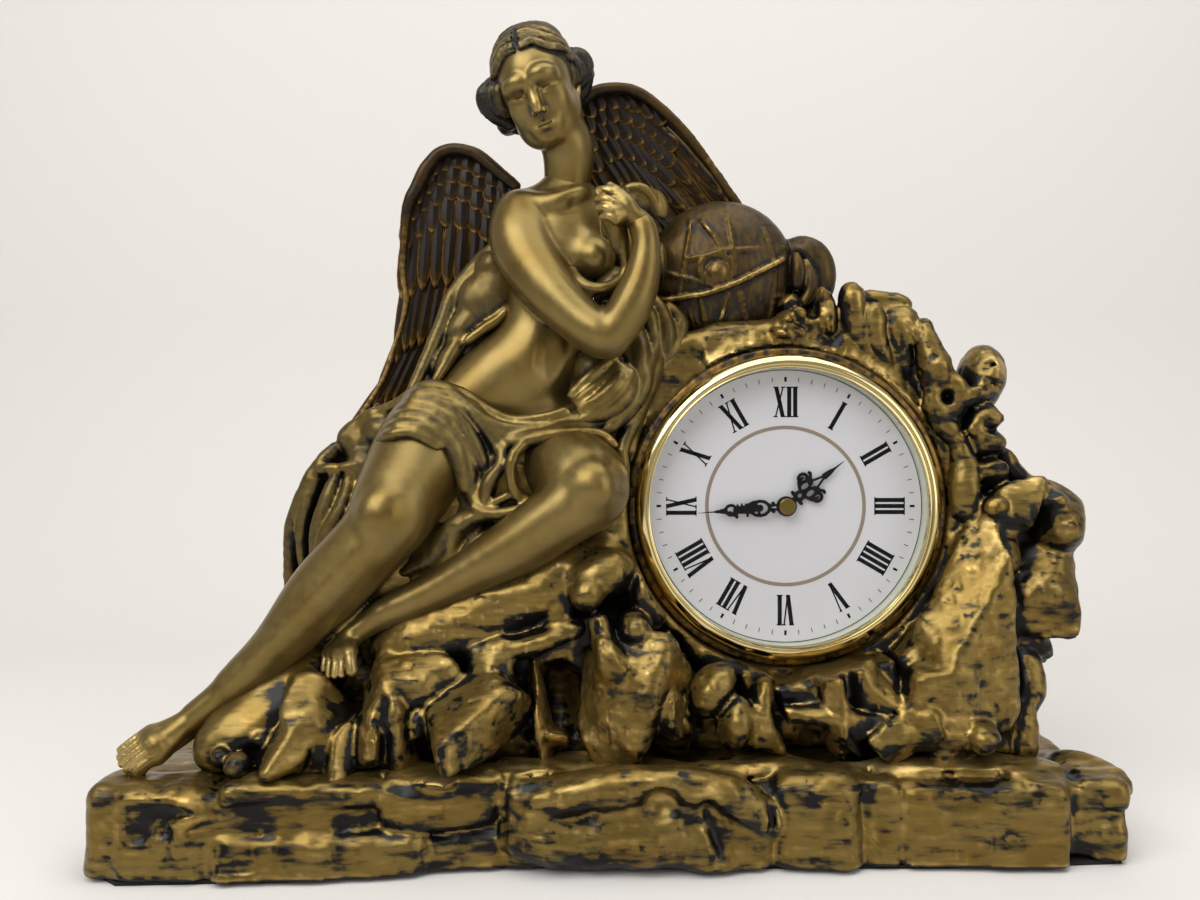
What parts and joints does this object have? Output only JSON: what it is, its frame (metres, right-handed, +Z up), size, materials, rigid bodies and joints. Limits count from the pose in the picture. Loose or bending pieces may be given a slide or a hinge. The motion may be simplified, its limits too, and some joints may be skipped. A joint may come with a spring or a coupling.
{
  "type": "figural clock",
  "caption": "Mantel clock: a winged classical figure seated on rocks beside a round quartz insert with Roman numerals.",
  "frame": {"origin": "middle of the base, on the surface that the clock stands on", "axes": "+X to the right as the dial is read, +Y from the dial to the back, +Z up"},
  "size_m": [0.3301, 0.0874, 0.272],
  "materials": {
    "figure_bronze": "cold-cast bronze resin, satin olive-gold patina",
    "gilt_rock": "cold-cast resin, black with dry-brushed gold",
    "wing_bronze": "cold-cast resin, dark brown with gold edges",
    "drape_bronze": "cold-cast bronze resin, satin with dark folds",
    "globe_bronze": "cold-cast resin, dark bronze with gold ribs",
    "felt": "black felt",
    "polished_brass": "polished and lacquered",
    "clear_glass": "clear mineral glass",
    "champagne_ring": "metallised cream plastic",
    "dial_white": "white enamel paint with black Roman numerals",
    "black_plastic": "moulded black ABS",
    "grip_rubber": "black rubber",
    "zinc_steel": "zinc plated",
    "board_green": "green solder mask",
    "copper_wire": "enamelled copper winding",
    "battery_wrap": "plain shrink wrap",
    "gear_white": "moulded white acetal",
    "hand_black": "black enamelled sheet"
  },
  "bodies": {
    "case": {"base_plinth": "gilt_rock", "base_felt": "felt", "rock_arch": "gilt_rock", "rock_seat": "gilt_rock", "base_boulders": "gilt_rock", "figure_trunk": "figure_bronze", "figure_head": "figure_bronze", "right_arm": "figure_bronze", "left_arm": "figure_bronze", "right_leg": "figure_bronze", "left_leg": "figure_bronze", "hip_drape": "drape_bronze", "back_cloth": "drape_bronze", "side_cloth": "drape_bronze", "left_wing": "wing_bronze", "right_wing": "wing_bronze", "ribbed_globe": "globe_bronze"},
    "insert": {"bezel": "polished_brass", "lens": "clear_glass", "dial_ring": "champagne_ring", "dial": "dial_white", "insert_cup": "black_plastic", "rubber_band": "grip_rubber", "movement_front": "black_plastic", "movement_back": "black_plastic", "movement_screws": "zinc_steel", "train_plate": "black_plastic", "circuit_board": "board_green", "quartz_crystal": "zinc_steel", "stator": "zinc_steel", "drive_coil": "copper_wire", "positive_contact": "zinc_steel", "negative_contact": "zinc_steel"},
    "minute_hand": {"minute_hand": "hand_black", "hand_cap": "polished_brass", "cannon_pinion": "gear_white"},
    "hour_hand": {"hour_hand": "hand_black", "hour_wheel": "gear_white"},
    "minute_wheel": {"minute_wheel": "gear_white"},
    "setting_knob": {"setting_knob": "gear_white"},
    "seconds_wheel": {"seconds_wheel": "gear_white"},
    "fifth_wheel": {"fifth_wheel": "gear_white"},
    "rotor": {"rotor": "gear_white"},
    "third_wheel": {"third_wheel": "gear_white"},
    "centre_wheel": {"centre_wheel": "gear_white"},
    "battery": {"battery": "battery_wrap"}
  },
  "joints": [
    {"name": "insert_pull", "type": "slide", "parent": "case", "child": "insert", "axis": [0, -1, 0], "range_m": [0, 0.03]},
    {"name": "battery_pull", "type": "slide", "parent": "insert", "child": "battery", "axis": [0, 1, 0], "range_m": [0, 0.018]},
    {"name": "minute_turn", "type": "hinge", "parent": "insert", "child": "minute_hand", "pos_m": [0.05846, 0, 0.11015], "axis": [0, 1, 0], "continuous": true},
    {"name": "hour_turn", "type": "hinge", "parent": "insert", "child": "hour_hand", "pos_m": [0.05846, 0, 0.11015], "axis": [0, 1, 0], "continuous": true},
    {"name": "minute_wheel_turn", "type": "hinge", "parent": "insert", "child": "minute_wheel", "pos_m": [0.06806, 0, 0.11015], "axis": [0, 1, 0], "continuous": true},
    {"name": "knob_turn", "type": "hinge", "parent": "insert", "child": "setting_knob", "pos_m": [0.07485, 0, 0.11694], "axis": [0, 1, 0], "continuous": true},
    {"name": "seconds_turn", "type": "hinge", "parent": "insert", "child": "seconds_wheel", "pos_m": [0.05846, 0, 0.11015], "axis": [0, 1, 0], "continuous": true},
    {"name": "fifth_turn", "type": "hinge", "parent": "insert", "child": "fifth_wheel", "pos_m": [0.06038, 0, 0.12102], "axis": [0, 1, 0], "continuous": true},
    {"name": "rotor_turn", "type": "hinge", "parent": "insert", "child": "rotor", "pos_m": [0.05618, 0, 0.12829], "axis": [0, 1, 0], "continuous": true},
    {"name": "third_turn", "type": "hinge", "parent": "insert", "child": "third_wheel", "pos_m": [0.04911, 0, 0.11555], "axis": [0, 1, 0], "continuous": true},
    {"name": "centre_turn", "type": "hinge", "parent": "insert", "child": "centre_wheel", "pos_m": [0.05846, 0, 0.11015], "axis": [0, 1, 0], "continuous": true}
  ],
  "couplings": [
    {"joint": "hour_turn", "follows": "minute_turn", "ratio": 0.083333},
    {"joint": "minute_wheel_turn", "follows": "minute_turn", "ratio": -0.33333},
    {"joint": "knob_turn", "follows": "minute_turn", "ratio": 1},
    {"joint": "fifth_turn", "follows": "seconds_turn", "ratio": -5},
    {"joint": "rotor_turn", "follows": "seconds_turn", "ratio": 30},
    {"joint": "third_turn", "follows": "seconds_turn", "ratio": -0.13333},
    {"joint": "centre_turn", "follows": "seconds_turn", "ratio": 0.016667}
  ]
}
